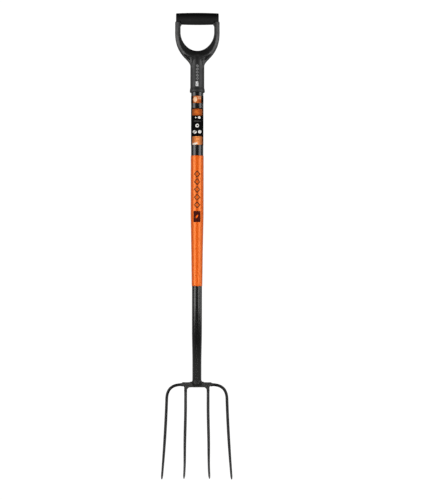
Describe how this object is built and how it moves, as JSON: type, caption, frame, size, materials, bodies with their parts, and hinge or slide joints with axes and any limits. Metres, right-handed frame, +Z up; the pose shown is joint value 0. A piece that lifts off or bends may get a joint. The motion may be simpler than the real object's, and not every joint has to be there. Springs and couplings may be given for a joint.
{
  "type": "digging fork",
  "caption": "Long garden fork: slender curved round tines on a welded yoke, cranked tapered tube shaft with orange sleeve, moulded D handle with soft grip.",
  "frame": {"origin": "on the shaft's axis, level with the tips of the outer tines", "axes": "+Z up the shaft to the handle, +X to the right along the yoke seen from the front, the tines curve forward towards -Y"},
  "size_m": [0.194, 0.0827, 1.2735],
  "materials": {
    "black_steel": "semi-gloss black paint on the tube",
    "forged_steel": "satin black paint over forged and welded steel",
    "bare_steel": "unpainted, hidden in the tube",
    "orange_plastic": "smooth semi-gloss orange sleeve",
    "label_film": null,
    "black_plastic": "fine-textured black moulding",
    "soft_grip": "matt soft-touch black grip",
    "plug_wood": "plain dowel, hidden in the tube",
    "zinc_steel": "zinc-plated screws"
  },
  "bodies": {
    "root": {"d_handle": "black_plastic", "grip_overmould": "soft_grip", "handle_screw_lower": "zinc_steel", "handle_screw_upper": "zinc_steel", "head_yoke": "forged_steel", "neck_spigot": "bare_steel", "neck_weld": "forged_steel", "orange_sleeve": "orange_plastic", "shaft_label": "label_film", "shaft_plug": "plug_wood", "shaft_tube": "black_steel", "tine_inner_left": "forged_steel", "tine_inner_right": "forged_steel", "tine_outer_left": "forged_steel", "tine_outer_right": "forged_steel", "weld_inner_left": "forged_steel", "weld_inner_right": "forged_steel", "weld_outer_left": "forged_steel", "weld_outer_right": "forged_steel"}
  },
  "joints": []
}
